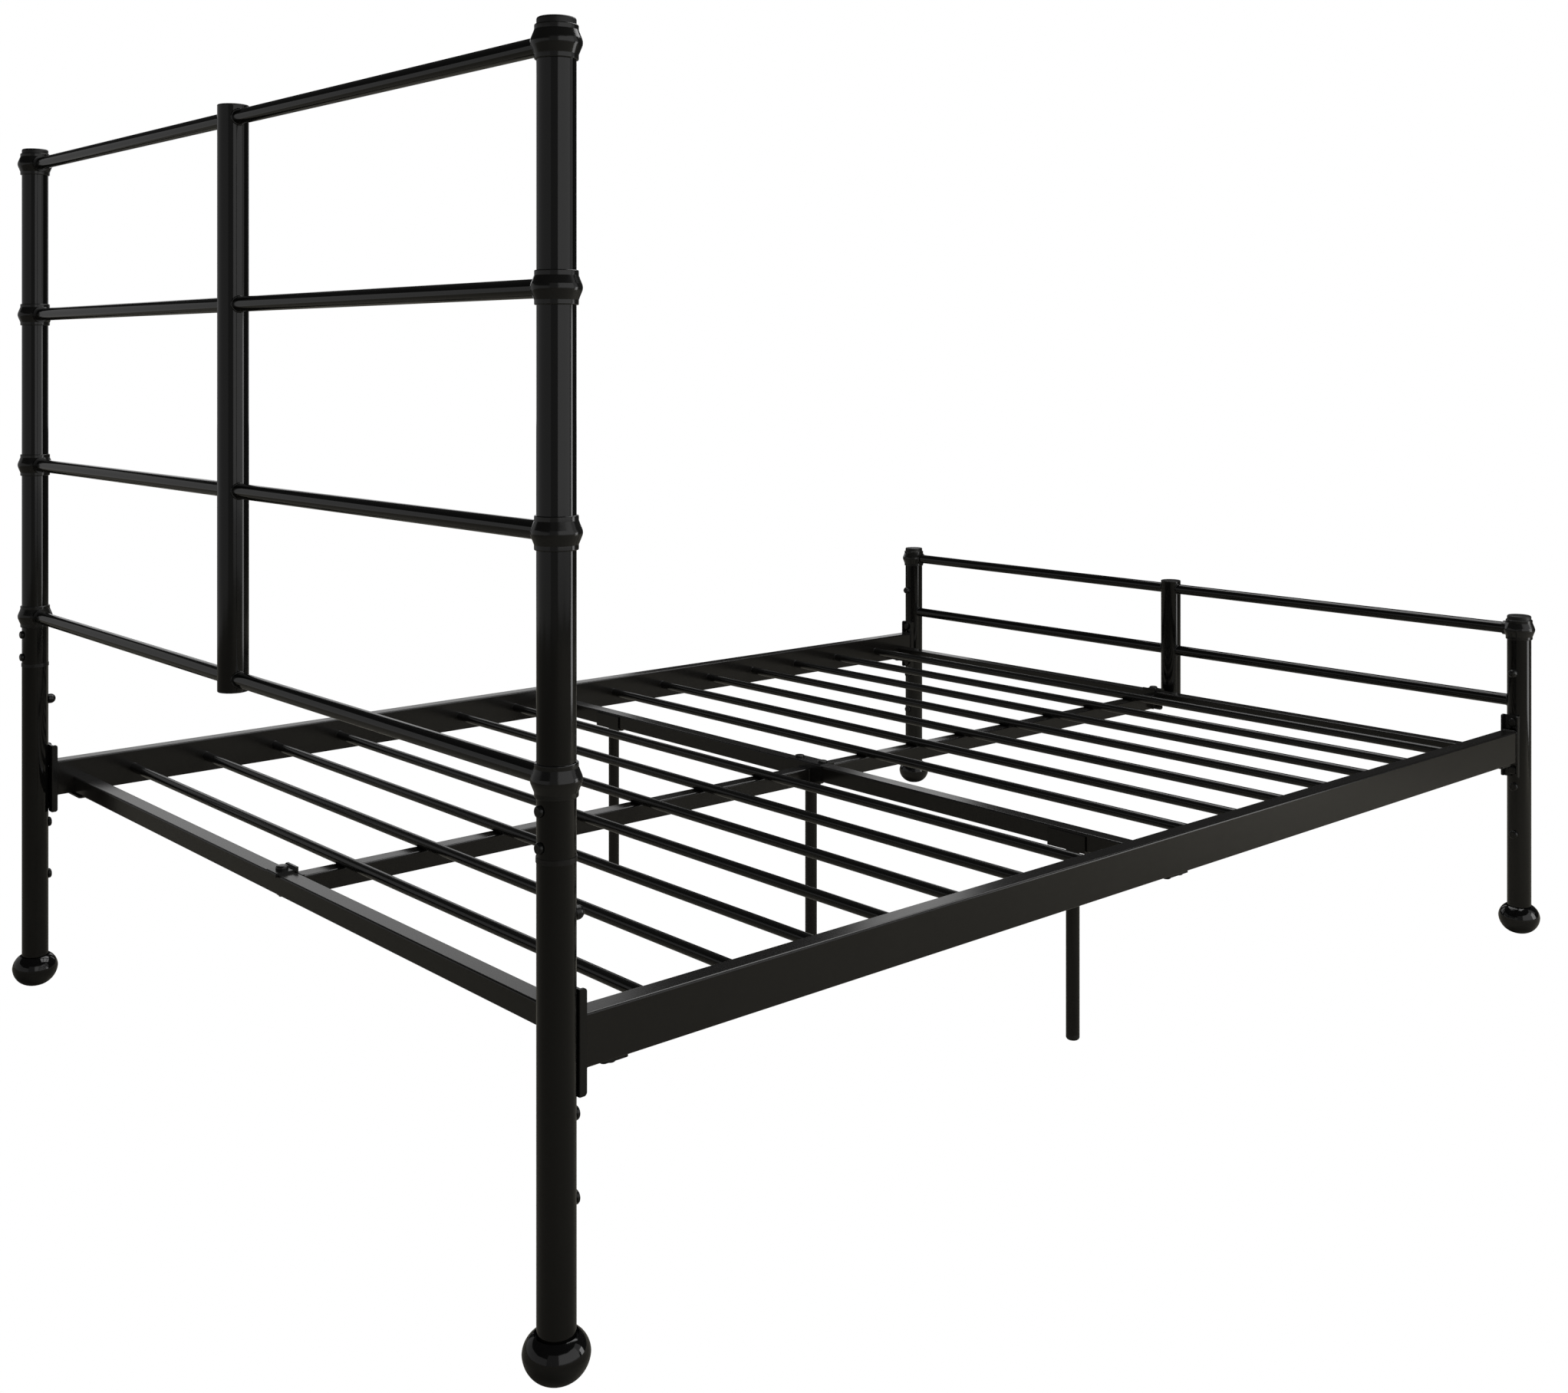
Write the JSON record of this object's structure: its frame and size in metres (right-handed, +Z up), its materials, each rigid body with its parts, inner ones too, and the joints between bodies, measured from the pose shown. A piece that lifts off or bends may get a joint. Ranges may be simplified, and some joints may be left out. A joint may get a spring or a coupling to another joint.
{
  "type": "metal bed frame",
  "caption": "Black metal bed frame with a tall ladder headboard, low footboard, ball connectors, ball feet, slatted deck, centre rail and middle support legs.",
  "frame": {"origin": "on the floor, in the middle of the rectangle made by the four corner posts", "axes": "+Z up, +Y towards the headboard, +X across the width to the right of someone standing at the footboard and facing the headboard"},
  "size_m": [1.4754, 2.0104, 1.285],
  "materials": {
    "frame_steel": "semi-gloss black powder coat on round steel tube",
    "deck_steel": "semi-gloss black powder coat on box-section steel tube",
    "slat_steel": "semi-gloss black powder coat on thin round tube",
    "bracket_steel": "semi-gloss black powder coat on pressed sheet steel",
    "sleeve_steel": "black painted steel joining sleeve",
    "cast_connectors": "black painted casting",
    "plastic_caps": "black moulded plastic plug, fine matt surface",
    "ball_feet": "glossy black moulded plastic",
    "black_fasteners": "black coated steel domed heads"
  },
  "bodies": {
    "root": {"ball_foot_foot_left": "ball_feet", "ball_foot_foot_right": "ball_feet", "ball_foot_head_left": "ball_feet", "ball_foot_head_right": "ball_feet", "centre_post_caps": "plastic_caps", "centre_rail_foot": "deck_steel", "centre_rail_head": "deck_steel", "centre_strap_foot": "bracket_steel", "centre_strap_head": "bracket_steel", "centre_strap_mid": "bracket_steel", "cross_rail_flanges": "bracket_steel", "flange_bolts": "black_fasteners", "foot_ball_connectors": "cast_connectors", "foot_centre_post": "frame_steel", "foot_cross_rail": "deck_steel", "foot_post_left": "frame_steel", "foot_post_right": "frame_steel", "foot_post_tie": "bracket_steel", "foot_rail_1_left": "frame_steel", "foot_rail_1_right": "frame_steel", "foot_rail_2_left": "frame_steel", "foot_rail_2_right": "frame_steel", "head_ball_connectors_left": "cast_connectors", "head_ball_connectors_right": "cast_connectors", "head_centre_post": "frame_steel", "head_cross_rail": "deck_steel", "head_leg_left": "frame_steel", "head_leg_right": "frame_steel", "head_post_left": "frame_steel", "head_post_right": "frame_steel", "head_rail_1_left": "frame_steel", "head_rail_1_right": "frame_steel", "head_rail_2_left": "frame_steel", "head_rail_2_right": "frame_steel", "head_rail_3_left": "frame_steel", "head_rail_3_right": "frame_steel", "head_rail_4_left": "frame_steel", "head_rail_4_right": "frame_steel", "high_pins": "black_fasteners", "hook_pins": "black_fasteners", "joint_bolts": "black_fasteners", "mid_cross_rail": "deck_steel", "mid_leg_caps": "plastic_caps", "mid_leg_centre": "frame_steel", "mid_leg_left": "frame_steel", "mid_leg_right": "frame_steel", "post_caps": "plastic_caps", "post_sleeves": "sleeve_steel", "rail_bracket_foot_left": "bracket_steel", "rail_bracket_foot_right": "bracket_steel", "rail_bracket_head_left": "bracket_steel", "rail_bracket_head_right": "bracket_steel", "saddle_bolts": "black_fasteners", "side_rail_left": "deck_steel", "side_rail_right": "deck_steel", "slats_foot": "slat_steel", "slats_head": "slat_steel", "strap_bolts": "black_fasteners", "strap_nuts": "black_fasteners"}
  },
  "joints": []
}
